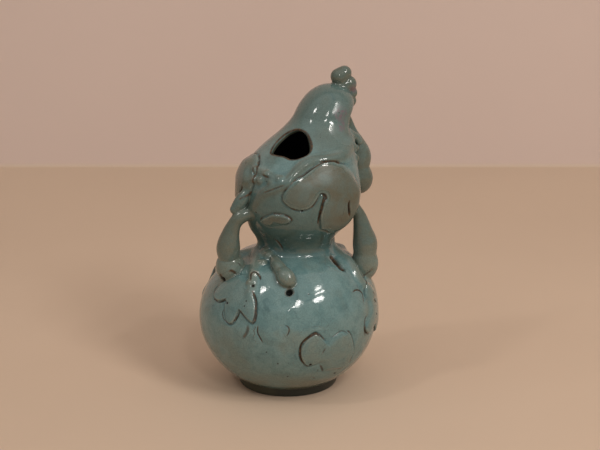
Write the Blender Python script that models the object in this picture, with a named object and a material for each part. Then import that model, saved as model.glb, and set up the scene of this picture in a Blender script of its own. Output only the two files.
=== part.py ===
"""Double gourd vase: a hollow thrown body with a vine, leaves, small gourds and a stem luted on.

The work is modelled with the foot ring's centre on the ground at the origin, +Z up, +X to the right of
the side with the mouth, and the mouth's side facing -Y. A place on the body is a turn in degrees, 0 at the
front and rising towards +X, and a level. At the end the whole is moved to stand centred on the origin.
"""
import math

import bpy
import numpy as np

MM = 0.001

# Foot ring
FOOT_RADIUS = 24.2 * MM
FOOT_HEIGHT = 4.2 * MM
FOOT_FLARE = 0.6 * MM
FOOT_RING_WIDTH = 4.4 * MM
FOOT_RECESS = 2.8 * MM

# Lower globe
GLOBE_RADIUS = 43.6 * MM
GLOBE_LEVEL = 35.0 * MM
GLOBE_RISE = 38.5 * MM
GLOBE_ARC_END = 49.0

# Waist
WAIST_RADIUS = 17.4 * MM
WAIST_LEVEL = 71.8 * MM

# Upper bulb
BULB_RADIUS = 29.0 * MM
BULB_LEVEL = 98.0 * MM
BULB_DROP = 27.5 * MM
BULB_RISE = 32.0 * MM
BULB_ARC_START = -42.0
BULB_ARC_END = 36.0

# Closed dome at the top, which leans over to one side
DOME_RADIUS = 13.8 * MM
DOME_LEVEL = 134.0 * MM
DOME_RISE = 13.2 * MM

# How far each part's centre stands off the foot's centre
BULB_LEAN = 6.4 * MM
DOME_LEAN = 20.6 * MM
DOME_SETBACK = 13.0 * MM
WAIST_FORWARD = 1.0 * MM
WAIST_BEND = 16.0 * MM
DOME_BEND_START = 7.0 * MM

WALL = 3.2 * MM
FLOOR = 3.2 * MM

# Mouth, a torn-looking opening in the slope below the dome
MOUTH_TURN = -30.0
MOUTH_DROP = 11.8 * MM
MOUTH_OUTLINE = ((29, 7.9), (69, 6.9), (106, 7.9), (135, 9.2), (175, 7.8), (218, 9.3), (241, 6.5),
                 (284, 6.1), (315, 8.5), (346, 11.3))

# Blind pit under the small gourd on the front
PIT_RADIUS = 1.6 * MM
PIT_DEPTH = 2.0 * MM
PIT_TURN = -1.3
PIT_RISE = 22.7

# Applied leaves and vines
LEAF_SINK = 1.5 * MM
LEAF_EDGE = 0.9 * MM
VINE_LIFT = 0.3 * MM
VINE_END = 0.75

# Roundness of the faceted surfaces
BODY_SIDES = 36
CAVITY_SIDES = 24
CAVITY_STEP = 7.5 * MM
GOURD_SIDES = 10
VINE_SIDES = 6
POINTS_PER_CORNER = 2
VINE_STEP = 4.5 * MM

GLAZE_COLOUR = (0.115, 0.180, 0.171, 1.0)
GLAZE_ROUGHNESS = 0.18


def ease(share):
    """Smooth step from 0 to 1."""
    share = np.clip(share, 0.0, 1.0)
    return share * share * (3.0 - 2.0 * share)


def arc(level, radius, height, start, end, steps):
    """Levels and radii along an elliptic arc; the angles run up from the widest place."""
    angles = np.radians(np.linspace(start, end, steps + 1))
    return np.column_stack((level + height * np.sin(angles), radius * np.cos(angles)))


def arc_slope(radius, height, angle):
    """Direction of such an arc at an angle."""
    angle = math.radians(angle)
    slope = np.array((height * math.cos(angle), -radius * math.sin(angle)))
    return slope / np.linalg.norm(slope)


def bridge(start, start_slope, end, end_slope, steps):
    """A smooth stretch of profile that leaves and arrives in the given directions."""
    length = np.linalg.norm(end - start)
    t = np.linspace(0.0, 1.0, steps + 1)[:, None]
    return ((2 * t**3 - 3 * t**2 + 1) * start + (t**3 - 2 * t**2 + t) * length * start_slope
            + (3 * t**2 - 2 * t**3) * end + (t**3 - t**2) * length * end_slope)


def outer_profile():
    """Levels and radii of the outside, from the ground to the crown."""
    upright = np.array((1.0, 0.0))
    foot_top = FOOT_RADIUS + FOOT_FLARE
    globe_start = -math.degrees(math.acos(foot_top / GLOBE_RADIUS))
    globe_drop = (GLOBE_LEVEL - FOOT_HEIGHT) / math.sin(math.radians(-globe_start))
    foot = np.array(((0.0, FOOT_RADIUS - FOOT_FLARE), (FOOT_FLARE, FOOT_RADIUS)))
    globe_low = arc(GLOBE_LEVEL, GLOBE_RADIUS, globe_drop, globe_start, 0.0, 6)
    globe_high = arc(GLOBE_LEVEL, GLOBE_RADIUS, GLOBE_RISE, 0.0, GLOBE_ARC_END, 5)
    waist = np.array((WAIST_LEVEL, WAIST_RADIUS))
    shoulder = bridge(globe_high[-1], arc_slope(GLOBE_RADIUS, GLOBE_RISE, GLOBE_ARC_END), waist, upright, 5)
    bulb_low = arc(BULB_LEVEL, BULB_RADIUS, BULB_DROP, BULB_ARC_START, 0.0, 4)
    neck = bridge(waist, upright, bulb_low[0], arc_slope(BULB_RADIUS, BULB_DROP, BULB_ARC_START), 4)
    bulb_high = arc(BULB_LEVEL, BULB_RADIUS, BULB_RISE, 0.0, BULB_ARC_END, 4)
    dome = arc(DOME_LEVEL, DOME_RADIUS, DOME_RISE, 0.0, 90.0, 5)
    slope = bridge(bulb_high[-1], arc_slope(BULB_RADIUS, BULB_RISE, BULB_ARC_END), dome[0], upright, 5)
    stretches = (globe_high, shoulder, neck, bulb_low, bulb_high, slope, dome)
    return np.vstack([foot, globe_low] + [stretch[1:] for stretch in stretches])


PROFILE = outer_profile()
CROWN_LEVEL = DOME_LEVEL + DOME_RISE
LENGTHS = np.concatenate(([0.0], np.cumsum(np.hypot(*np.diff(PROFILE, axis=0).T))))


def length_at(level):
    """Distance up along the profile to a level."""
    return np.interp(level, PROFILE[:, 0], LENGTHS)


def centre_at(level):
    """X and Y of the body's centre at a level."""
    dome_start = BULB_LEVEL + DOME_BEND_START
    to_bulb = ease((level - GLOBE_LEVEL) / (BULB_LEVEL - GLOBE_LEVEL))
    to_dome = ease((level - dome_start) / (CROWN_LEVEL - dome_start))
    forward = WAIST_FORWARD * np.exp(-((level - WAIST_LEVEL) / WAIST_BEND) ** 2)
    return BULB_LEAN * to_bulb + (DOME_LEAN - BULB_LEAN) * to_dome, DOME_SETBACK * to_dome - forward


def on_body(turn, length, out=0.0):
    """Point on the outside at a turn and a distance up the profile, moved out along the profile's normal."""
    step = 0.5 * MM
    ahead = [np.interp(length + step, LENGTHS, column) for column in PROFILE.T]
    behind = [np.interp(length - step, LENGTHS, column) for column in PROFILE.T]
    rise, spread = ahead[0] - behind[0], ahead[1] - behind[1]
    size = np.hypot(rise, spread)
    level = np.interp(length, LENGTHS, PROFILE[:, 0])
    radius = np.interp(length, LENGTHS, PROFILE[:, 1]) + out * rise / size
    centre_x, centre_y = centre_at(level)
    angle = np.radians(turn)
    return np.array((centre_x + radius * np.sin(angle), centre_y - radius * np.cos(angle),
                     level - out * spread / size))


def globe(turn, rise):
    """Place on the lower globe, its level given in mm above the widest part."""
    return turn, GLOBE_LEVEL + rise * MM


def waist(turn, rise):
    """Place near the waist."""
    return turn, WAIST_LEVEL + rise * MM


def bulb(turn, rise):
    """Place on the upper bulb."""
    return turn, BULB_LEVEL + rise * MM


def dome(turn, rise):
    """Place on the dome."""
    return turn, DOME_LEVEL + rise * MM


def at_place(place, out=0.0):
    """Point for a place on the body."""
    turn, level = place
    return on_body(turn, length_at(level), out)


def smooth_curve(points, samples, closed=False):
    """Catmull-Rom curve through the points, evenly sampled in their numbering."""
    points = np.asarray(points, dtype=float)
    count = len(points)
    spans = count if closed else count - 1
    at = np.linspace(0.0, spans, samples, endpoint=not closed)
    first = np.minimum(at.astype(int), spans - 1)
    t = (at - first)[:, None]
    if closed:
        near = [points[(first + shift) % count] for shift in (-1, 0, 1, 2)]
    else:
        near = [points[np.clip(first + shift, 0, count - 1)] for shift in (-1, 0, 1, 2)]
    before, start, end, after = near
    return 0.5 * (2 * start + (end - before) * t + (2 * before - 5 * start + 4 * end - after) * t**2
                  + (3 * start - before - 3 * end + after) * t**3)


def polar_outline(corners):
    """Smooth closed outline through tips and notches given as (angle in degrees, reach in mm)."""
    corners = [(reach * MM * math.cos(math.radians(angle)), reach * MM * math.sin(math.radians(angle)))
               for angle, reach in corners]
    return smooth_curve(corners, POINTS_PER_CORNER * len(corners), closed=True)


def add_piece(name, points, faces, material, group):
    """Named object from points and faces, shaded smooth."""
    mesh = bpy.data.meshes.new(name)
    mesh.from_pydata([tuple(map(float, point)) for point in points], [], faces)
    mesh.materials.append(material)
    mesh.shade_smooth()
    piece = bpy.data.objects.new(name, mesh)
    group.objects.link(piece)
    return piece


def loft(rings, start_pole=None, end_pole=None):
    """Points and faces of a closed skin over rings of equal length that run anticlockwise seen from the end.

    Each end is closed to a pole, or flat where no pole is given.
    """
    sides = len(rings[0])
    points = np.concatenate([np.asarray(ring) for ring in rings])
    faces = []
    for row in range(len(rings) - 1):
        for side in range(sides):
            right = (side + 1) % sides
            low, high = row * sides, (row + 1) * sides
            faces.append((low + side, low + right, high + right, high + side))
    last = (len(rings) - 1) * sides
    if start_pole is None:
        faces.append(tuple(reversed(range(sides))))
    else:
        faces += [((side + 1) % sides, side, len(points)) for side in range(sides)]
        points = np.vstack((points, start_pole))
    if end_pole is None:
        faces.append(tuple(range(last, last + sides)))
    else:
        faces += [(last + side, last + (side + 1) % sides, len(points)) for side in range(sides)]
        points = np.vstack((points, end_pole))
    return points, faces


def level_ring(level, radius, sides):
    """Horizontal ring about the body's centre line."""
    centre_x, centre_y = centre_at(level)
    angles = np.linspace(0.0, 2 * math.pi, sides, endpoint=False)
    return np.column_stack((centre_x + radius * np.cos(angles), centre_y + radius * np.sin(angles),
                            np.full(sides, level)))


def body_skin():
    """Outside of the thrown body with its foot, solid."""
    rings = [level_ring(level, radius, BODY_SIDES) for level, radius in PROFILE[:-1]]
    crown = np.array((*centre_at(CROWN_LEVEL), CROWN_LEVEL))
    return loft(rings, end_pole=crown)


def cavity_skin():
    """The hollow, a wall's thickness inside the outer profile."""
    floor_level = FOOT_RECESS + FLOOR
    lengths = np.arange(length_at(FOOT_HEIGHT), LENGTHS[-1], CAVITY_STEP)
    step = 0.5 * MM
    inner = []
    for length in lengths:
        rise, spread = [np.interp(length + step, LENGTHS, column) - np.interp(length - step, LENGTHS, column)
                        for column in PROFILE.T]
        size = math.hypot(rise, spread)
        level = np.interp(length, LENGTHS, PROFILE[:, 0]) + WALL * spread / size
        radius = np.interp(length, LENGTHS, PROFILE[:, 1]) - WALL * rise / size
        if level > floor_level and radius > 2 * MM and level < CROWN_LEVEL - WALL:
            inner.append((level, radius))
    inner.insert(0, (floor_level, inner[0][1] - 2 * MM))
    rings = [level_ring(level, radius, CAVITY_SIDES) for level, radius in inner]
    top = CROWN_LEVEL - WALL
    return loft(rings, end_pole=np.array((*centre_at(top), top)))


def leaf_skin(place, corners, height):
    """A leaf laid on the body: an outline that follows the wall, with a stepped edge and a puffed middle."""
    turn, level = place
    start = length_at(level)
    outline = polar_outline(corners)

    def ring(share, out):
        lengths = start + outline[:, 1] * share
        radii = np.interp(lengths, LENGTHS, PROFILE[:, 1])
        turns = turn + np.degrees(outline[:, 0] * share / radii)
        return on_body(turns, lengths, out).T

    rings = [ring(1.0, -LEAF_SINK), ring(1.0, LEAF_EDGE), ring(0.8, height), ring(0.4, height)]
    return loft(rings, on_body(turn, start, -LEAF_SINK), on_body(turn, start, height))


def tube_skin(path, radii, sides, twist=0.0, flatness=0.0):
    """Round bar along a path with its own radius at each point and rounded ends.

    The section can be flattened to two lobes that turn by twist degrees from the first point to the last.
    """
    path = np.asarray(path)
    ahead = np.gradient(path, axis=0)
    ahead /= np.linalg.norm(ahead, axis=1)[:, None]
    side = np.cross(ahead[0], (0.0, 0.0, 1.0) if abs(ahead[0][2]) < 0.9 else (1.0, 0.0, 0.0))
    angles = np.linspace(0.0, 2 * math.pi, sides, endpoint=False)
    rings = []
    for index, (point, direction, radius) in enumerate(zip(path, ahead, radii)):
        side = side - direction * np.dot(side, direction)
        side /= np.linalg.norm(side)
        other = np.cross(direction, side)
        turned = angles + math.radians(twist) * index / (len(path) - 1)
        reach = radius * (1.0 + flatness * np.cos(2 * turned))
        rings.append(point + np.outer(reach * np.cos(angles), side) + np.outer(reach * np.sin(angles), other))
    start = path[0] - ahead[0] * radii[0] * 0.6
    end = path[-1] + ahead[-1] * radii[-1] * 0.6
    return loft(rings, start, end)


def vine_skin(thickness, places):
    """Vine that lies half sunk on the body through the places, thinner at its ends."""
    points = np.array([at_place(place, VINE_LIFT) for place in places])
    length = np.linalg.norm(np.diff(points, axis=0), axis=1).sum()
    samples = max(5, round(length / VINE_STEP))
    turns = smooth_curve([(turn, level) for turn, level in places], samples)
    path = np.array([at_place(place, VINE_LIFT) for place in turns])
    share = np.linspace(0.0, 1.0, samples)
    radii = thickness * MM * (VINE_END + (1.0 - VINE_END) * np.sin(math.pi * share))
    return tube_skin(path, radii, VINE_SIDES)


def gourd_skin(top, bottom, bottom_sink, stations):
    """Small gourd that hangs from one place to another.

    Each station is its share of the way down, how far it bows out from the straight line and its radius,
    both in mm.
    """
    start = at_place(top)
    end = at_place(bottom, -bottom_sink)
    way = end - start
    out = at_place(bottom, 1.0) - at_place(bottom)
    out[2] = 0.0
    out -= way * np.dot(out, way) / np.dot(way, way)
    out /= np.linalg.norm(out)
    smooth = smooth_curve(stations, 2 * len(stations) - 1)
    path = [start + way * share + out * bow * MM for share, bow, radius in smooth]
    return tube_skin(path, smooth[:, 2] * MM, GOURD_SIDES)


def stem_skin():
    """Twisted stub of the stalk behind the crown."""
    crown = np.array((*centre_at(CROWN_LEVEL), CROWN_LEVEL))
    offsets = ((7.4, 5.0, -12.0), (8.6, 4.5, -6.0), (7.2, 3.0, 0.4), (4.6, 1.2, 4.8), (2.8, 0.2, 7.0))
    path = smooth_curve([crown + np.array(offset) * MM for offset in offsets], 11)
    radii = smooth_curve([(3.6,), (4.2,), (4.9,), (5.0,), (3.6,)], 11)[:, 0] * MM
    return tube_skin(path, radii, GOURD_SIDES, twist=200.0, flatness=0.14)


def standing_tip_skin():
    """Curled tip of the vine that stands out between the dome and the hanging gourd."""
    root = at_place(dome(96, -14))
    path = [root, root + np.array((2.4, 1.0, 0.4)) * MM, root + np.array((5.4, 2.0, 1.0)) * MM]
    return tube_skin(smooth_curve(path, 5), np.linspace(2.2, 0.6, 5) * MM, VINE_SIDES)


def leaf_flap_skin():
    """Curled lower tip of the leaf on the flank, which stands off the wall."""
    path = [at_place(bulb(-70, -3), -1.0 * MM), at_place(bulb(-76, -5), 3.4 * MM), at_place(bulb(-82, -7), 6.4 * MM)]
    return tube_skin(smooth_curve(path, 5), np.linspace(3.2, 1.4, 5) * MM, VINE_SIDES)


def palmate(reach, turned=0.0):
    """Tips and notches of a plain five-lobed leaf."""
    corners = []
    for lobe in range(5):
        angle = turned + 72.0 * lobe
        corners += [(angle - 14.0, reach * 0.94), (angle + 14.0, reach * 0.94), (angle + 36.0, reach * 0.62)]
    return corners


# Leaves: place, outline as (angle in degrees, reach in mm) from that place, and height above the wall
LEAVES = {
    "hood_leaf": (bulb(33, 7), ((71, 11.5), (97, 12.2), (124, 13.6), (148, 15.5), (168, 19.5), (186, 24.9),
                                (200, 22.8), (207, 17.0), (213, 8.5), (223, 8.0), (238, 14.5), (256, 20.4),
                                (272, 20.6), (298, 20.5), (312, 11.5), (322, 23.0), (345, 22.0), (8, 17.0),
                                (40, 13.0)), 1.3),
    "flank_leaf": (bulb(-76, 6), ((17, 12.8), (37, 11.2), (54, 12.8), (80, 13.2), (105, 13.0), (130, 13.5),
                                  (160, 10.5), (190, 11.5), (212, 8.0), (235, 11.5), (263, 12.5), (298, 10.2),
                                  (330, 10.6), (353, 11.3)), 3.2),
    "oval_leaf": (bulb(-26, -8), ((11, 8.5), (62, 3.6), (125, 4.2), (195, 8.4), (268, 4.2), (330, 4.8)), 0.9),
    "shoulder_leaf": (globe(-41, 18), ((154, 13.7), (189, 16.6), (202, 12.5), (209, 6.0), (232, 7.6),
                                       (266, 12.2), (285, 12.1), (303, 7.8), (312, 7.5), (323, 16.9),
                                       (345, 13.4), (24, 8.7), (75, 10.3), (115, 12.0)), 1.2),
    "middle_leaf": (globe(-9, 9), ((184, 7.2), (212, 8.5), (240, 10.0), (285, 11.6), (307, 12.0), (325, 8.4),
                                   (355, 5.9), (25, 9.5), (50, 12.0), (85, 9.0), (122, 12.0), (152, 6.0)), 0.9),
    "low_leaf": (globe(27, -6), ((123, 12.4), (150, 13.8), (177, 14.5), (213, 12.0), (240, 7.8), (266, 12.4),
                                 (290, 14.0), (318, 17.9), (344, 16.0), (7, 14.3), (36, 13.5), (70, 10.4),
                                 (106, 6.5)), 1.2),
    "right_leaf": (globe(84, 9), ((135, 17.0), (149, 24.0), (157, 18.4), (183, 14.7), (204, 21.2), (220, 20.0),
                                  (238, 13.0), (268, 17.0), (295, 12.0), (325, 16.0), (355, 11.0), (25, 16.0),
                                  (60, 12.0), (95, 15.0)), 1.4),
    "back_leaf_low": (globe(158, 0), palmate(15.0, 20.0), 1.1),
    "back_leaf_left": (globe(-118, 10), palmate(14.0, 50.0), 1.1),
    "back_leaf_high": (bulb(165, 4), palmate(13.0, 5.0), 1.1),
}

# Vines: thickness as a radius in mm, and places in order
VINES = {
    "crown_vine": (1.9, (bulb(100, 25), bulb(62, 22.5), bulb(46, 20), bulb(31, 19.5), bulb(7, 19),
                         bulb(-4, 16.5), bulb(-13, 10.5), bulb(-24, 7.5), bulb(-37, 4), bulb(-51, -4),
                         bulb(-60, -8))),
    "flank_twig": (1.7, (bulb(-14, 10), bulb(-24, 11), bulb(-40, 12.5), bulb(-58, 13))),
    "waist_vine": (2.1, (bulb(-60, -10), waist(-68, 9), waist(-74, 2), waist(-68, -3), globe(-50, 31.4),
                         globe(-40, 29), globe(-34, 25), globe(-30, 20))),
    "fork_vine": (1.8, (waist(-66, -4), waist(-52, -3), waist(-38, -3))),
    "shoulder_vine": (1.9, (waist(104, 1), waist(94, -3), globe(77, 31), globe(69, 26.5), globe(67, 21.5),
                            globe(74, 14))),
    "low_leaf_stalk": (1.8, (globe(68, 20), globe(56, 14.5), globe(44, 11), globe(33, 6.5), globe(26, 0))),
    "back_vine_high": (1.9, (bulb(98, 26), bulb(125, 22), bulb(150, 14), bulb(166, 6))),
    "back_vine_low": (1.9, (waist(104, 0), globe(125, 28), globe(142, 20), globe(156, 6))),
    "back_vine_left": (2.6, (waist(-72, -2), globe(-84, 32), globe(-96, 27), globe(-110, 17))),
}

# Hanging gourds: upper place, lower place, sinking at the lower end and stations down the way
GOURDS = {
    "left_gourd": (bulb(-59, -7), globe(-74, 22), 5.0 * MM,
                   ((0.0, -1.0, 2.6), (0.07, 4.0, 3.0), (0.19, 5.8, 3.3), (0.38, 6.1, 4.6), (0.55, 5.4, 5.8),
                    (0.70, 3.9, 5.4), (0.86, 2.2, 7.2), (0.97, 0.3, 4.9))),
    "right_gourd": (bulb(86, -7.8), globe(87, 22), 3.0 * MM,
                    ((0.0, -1.0, 2.0), (0.16, 0.9, 3.3), (0.36, 2.1, 4.7), (0.53, 3.0, 6.0), (0.69, 2.8, 5.7),
                     (0.85, 2.4, 6.7), (0.98, 0.2, 4.6))),
    "high_gourd": (dome(107, -3), bulb(116, -5), -3.6 * MM,
                   ((0.0, -0.8, 1.8), (0.20, 0.8, 3.2), (0.36, 2.4, 5.2), (0.52, 2.6, 6.0), (0.68, 1.6, 5.6),
                    (0.84, 1.2, 6.8), (0.97, 0.6, 4.4))),
    "front_gourd": (globe(-33, 32), globe(-2, 25.8), 0.0 * MM,
                    ((0.0, 1.5, 2.4), (0.25, 2.6, 3.3), (0.48, 2.5, 3.1), (0.76, 2.2, 4.3), (0.98, 1.4, 3.2))),
}


def mouth_cutter():
    """Plug that opens the mouth square to the wall."""
    start = length_at(DOME_LEVEL - MOUTH_DROP)
    outline = polar_outline(MOUTH_OUTLINE)
    lengths = start + outline[:, 1]
    radii = np.interp(lengths, LENGTHS, PROFILE[:, 1])
    turns = MOUTH_TURN + np.degrees(outline[:, 0] / radii)
    depths = (-2.2 * WALL, 0.0, 1.5 * WALL)
    rings = [on_body(turns, lengths, depth).T for depth in depths]
    return loft(rings, on_body(MOUTH_TURN, start, depths[0]), on_body(MOUTH_TURN, start, depths[-1]))


def recess_cutter():
    """Disc that hollows the underside within the foot ring."""
    radius = FOOT_RADIUS - FOOT_RING_WIDTH
    rings = [level_ring(level, radius, BODY_SIDES) for level in (-FOOT_RECESS, FOOT_RECESS)]
    return loft(rings)


def pit_cutter():
    """Short bar that drills the blind pit."""
    place = globe(PIT_TURN, PIT_RISE)
    return tube_skin([at_place(place, -PIT_DEPTH), at_place(place, 3 * PIT_DEPTH)], [PIT_RADIUS] * 2, GOURD_SIDES)


def glaze_material():
    """Turquoise glaze."""
    material = bpy.data.materials.new("turquoise_glaze")
    material.use_nodes = True
    shader = material.node_tree.nodes["Principled BSDF"]
    shader.inputs["Base Color"].default_value = GLAZE_COLOUR
    shader.inputs["Roughness"].default_value = GLAZE_ROUGHNESS
    shader.inputs["Metallic"].default_value = 0.0
    return material


def combine(vase, name, skins, material, operation):
    """Exact Boolean between the vase and a collection of hidden pieces, which are given back."""
    group = bpy.data.collections.new(name)
    bpy.context.scene.collection.children.link(group)
    pieces = [add_piece(part, *skin, material, group) for part, skin in skins.items()]
    for piece in pieces:
        piece.hide_render = True
        piece.display_type = 'WIRE'
    step = vase.modifiers.new(name, 'BOOLEAN')
    step.operation = operation
    step.solver = 'EXACT'
    step.operand_type = 'COLLECTION'
    step.collection = group
    return pieces


def build():
    """The whole vase, standing centred on the origin."""
    for old in list(bpy.data.objects):
        bpy.data.objects.remove(old)
    glaze = glaze_material()
    vase = add_piece("double_gourd_vase", *body_skin(), glaze, bpy.context.scene.collection)
    skins = {name: leaf_skin(place, corners, height * MM) for name, (place, corners, height) in LEAVES.items()}
    skins.update({name: vine_skin(*shape) for name, shape in VINES.items()})
    skins.update({name: gourd_skin(*shape) for name, shape in GOURDS.items()})
    skins["stem"] = stem_skin()
    skins["standing_tip"] = standing_tip_skin()
    skins["leaf_flap"] = leaf_flap_skin()
    cuts = {"hollow": cavity_skin(), "mouth": mouth_cutter(), "foot_recess": recess_cutter(),
            "pit": pit_cutter()}
    added = combine(vase, "applied", skins, glaze, 'UNION')
    removed = combine(vase, "hollowed", cuts, glaze, 'DIFFERENCE')
    reach = np.array([vertex.co for piece in [vase] + added for vertex in piece.data.vertices])
    low, high = reach.min(axis=0), reach.max(axis=0)
    shift = (-(low[0] + high[0]) / 2, -(low[1] + high[1]) / 2, 0.0)
    for piece in [vase] + added + removed:
        piece.location = shift


build()
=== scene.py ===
"""Double gourd vase in turquoise glaze: its full shape, its glaze, and the soft light it stands in.

The shape is worked out as one distance field in millimetres, with the foot ring's centre at the origin, and
meshed once. A place on the body is a turn in degrees, 0 at the front and rising towards +X, and a level.
"""
import math
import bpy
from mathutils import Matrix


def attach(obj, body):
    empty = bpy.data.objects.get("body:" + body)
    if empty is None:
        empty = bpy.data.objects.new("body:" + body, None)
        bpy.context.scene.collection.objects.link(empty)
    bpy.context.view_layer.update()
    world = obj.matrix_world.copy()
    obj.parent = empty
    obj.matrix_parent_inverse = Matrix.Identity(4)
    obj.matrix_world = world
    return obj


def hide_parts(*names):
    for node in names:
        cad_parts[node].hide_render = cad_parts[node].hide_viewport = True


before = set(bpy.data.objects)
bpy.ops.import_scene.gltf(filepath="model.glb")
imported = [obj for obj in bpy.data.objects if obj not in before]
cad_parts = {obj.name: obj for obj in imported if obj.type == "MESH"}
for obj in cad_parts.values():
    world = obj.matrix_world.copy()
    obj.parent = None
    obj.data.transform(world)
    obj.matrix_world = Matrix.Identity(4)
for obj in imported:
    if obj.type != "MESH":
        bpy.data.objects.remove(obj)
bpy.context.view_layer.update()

from concurrent.futures import ThreadPoolExecutor
from functools import reduce

import bpy
import numpy as np

MM = 0.001
NODE = "double_gourd_vase"

# Foot ring, globe, waist, bulb and dome, in mm, as in the solid
FOOT_RADIUS = 24.2
FOOT_HEIGHT = 4.2
FOOT_FLARE = 0.6
FOOT_RING_WIDTH = 4.4
FOOT_RECESS = 2.8
GLOBE_RADIUS = 43.6
GLOBE_LEVEL = 35.0
GLOBE_RISE = 38.5
GLOBE_ARC_END = 49.0
WAIST_RADIUS = 17.4
WAIST_LEVEL = 71.8
BULB_RADIUS = 29.0
BULB_LEVEL = 98.0
BULB_DROP = 27.5
BULB_RISE = 32.0
BULB_ARC_START = -42.0
BULB_ARC_END = 36.0
DOME_RADIUS = 13.8
DOME_LEVEL = 134.0
DOME_RISE = 13.2
BULB_LEAN = 6.4
DOME_LEAN = 20.6
DOME_SETBACK = 13.0
WAIST_FORWARD = 1.0
WAIST_BEND = 16.0
DOME_BEND_START = 7.0
WALL = 3.2
FLOOR = 3.2
CROWN_LEVEL = DOME_LEVEL + DOME_RISE

MOUTH_TURN = -30.0
MOUTH_DROP = 11.8
MOUTH_OUTLINE = ((25, 7.5), (67, 6.8), (110, 7.8), (149, 9.5), (177, 10.5), (202, 10.2), (216, 7.8),
                 (265, 4.6), (306, 6.8), (325, 8.7), (344, 10.8), (359, 9.8))
MOUTH_REACH = 8.0
MOUTH_ROUNDING = 0.8
EDGE_ROUNDING = 0.6
FLOOR_ROUNDING = 3.0

PIT_RADIUS = 1.6
PIT_DEPTH = 2.6

LEAF_EDGE = 0.9
LEAF_EDGE_WIDTH = 0.8
FADED_EDGE_WIDTH = 4.0
FADE_SLOPE = 1.6
LEAF_PUFF_WIDTH = 5.0
GROOVE_DEPTH = 0.22
GROOVE_WIDTH = 0.5
VINE_LIFT = -0.5
VINE_END = 0.75
SOFT_JOIN = 1.0
VINE_JOIN = 3.0
KNOT_JOIN = 1.6
STEM_JOIN = 1.0
RUN = 5

# Fineness of the mesh, in mm
COARSE_STEP = 2.0
FINE_STEP = 0.5
CHART_STEP = 0.3
ARC_POINTS = 120
PART_SIZE = 25000
LINE_PART_SIZE = 8192
NEIGHBOURHOOD = 16.0
GRID_MARGIN = 5.0
HALF_DIAGONAL = 0.87
SURFACE_MARGIN = 0.9
FAR = 9.0
OUT_OF_REACH = 99.0
WORKERS = 4
MOST_TRIANGLES = 190000


def ease(share):
    """Smooth step from 0 to 1."""
    share = np.clip(share, 0.0, 1.0)
    return share * share * (3.0 - 2.0 * share)


def arc(level, radius, height, start, end):
    """Levels and radii along an elliptic arc; the angles run up from the widest place."""
    angles = np.radians(np.linspace(start, end, ARC_POINTS))
    return np.column_stack((level + height * np.sin(angles), radius * np.cos(angles)))


def arc_slope(radius, height, angle):
    """Direction of such an arc at an angle."""
    angle = math.radians(angle)
    slope = np.array((height * math.cos(angle), -radius * math.sin(angle)))
    return slope / np.linalg.norm(slope)


def bridge(start, start_slope, end, end_slope):
    """A smooth stretch of profile that leaves and arrives in the given directions."""
    length = np.linalg.norm(end - start)
    t = np.linspace(0.0, 1.0, ARC_POINTS)[:, None]
    return ((2 * t**3 - 3 * t**2 + 1) * start + (t**3 - 2 * t**2 + t) * length * start_slope
            + (3 * t**2 - 2 * t**3) * end + (t**3 - t**2) * length * end_slope)


def outer_profile():
    """Levels and radii of the outside, from the ground to the crown."""
    upright = np.array((1.0, 0.0))
    globe_start = -math.degrees(math.acos((FOOT_RADIUS + FOOT_FLARE) / GLOBE_RADIUS))
    globe_drop = (GLOBE_LEVEL - FOOT_HEIGHT) / math.sin(math.radians(-globe_start))
    foot = np.array(((0.0, FOOT_RADIUS - FOOT_FLARE), (FOOT_FLARE, FOOT_RADIUS)))
    globe_low = arc(GLOBE_LEVEL, GLOBE_RADIUS, globe_drop, globe_start, 0.0)
    globe_high = arc(GLOBE_LEVEL, GLOBE_RADIUS, GLOBE_RISE, 0.0, GLOBE_ARC_END)
    waist_ring = np.array((WAIST_LEVEL, WAIST_RADIUS))
    globe_end = arc_slope(GLOBE_RADIUS, GLOBE_RISE, GLOBE_ARC_END)
    shoulder = bridge(globe_high[-1], globe_end, waist_ring, upright)
    bulb_low = arc(BULB_LEVEL, BULB_RADIUS, BULB_DROP, BULB_ARC_START, 0.0)
    neck = bridge(waist_ring, upright, bulb_low[0], arc_slope(BULB_RADIUS, BULB_DROP, BULB_ARC_START))
    bulb_high = arc(BULB_LEVEL, BULB_RADIUS, BULB_RISE, 0.0, BULB_ARC_END)
    crown = arc(DOME_LEVEL, DOME_RADIUS, DOME_RISE, 0.0, 90.0)
    slope = bridge(bulb_high[-1], arc_slope(BULB_RADIUS, BULB_RISE, BULB_ARC_END), crown[0], upright)
    stretches = (globe_high, shoulder, neck, bulb_low, bulb_high, slope, crown)
    return np.vstack([foot, globe_low] + [stretch[1:] for stretch in stretches])


PROFILE = outer_profile()
LENGTHS = np.concatenate(([0.0], np.cumsum(np.hypot(*np.diff(PROFILE, axis=0).T))))


def length_at(level):
    """Distance up along the profile to a level."""
    return np.interp(level, PROFILE[:, 0], LENGTHS)


def centre_at(level):
    """X and Y of the body's centre at a level."""
    dome_start = BULB_LEVEL + DOME_BEND_START
    to_bulb = ease((level - GLOBE_LEVEL) / (BULB_LEVEL - GLOBE_LEVEL))
    to_dome = ease((level - dome_start) / (CROWN_LEVEL - dome_start))
    forward = WAIST_FORWARD * np.exp(-((level - WAIST_LEVEL) / WAIST_BEND) ** 2)
    return BULB_LEAN * to_bulb + (DOME_LEAN - BULB_LEAN) * to_dome, DOME_SETBACK * to_dome - forward


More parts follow.
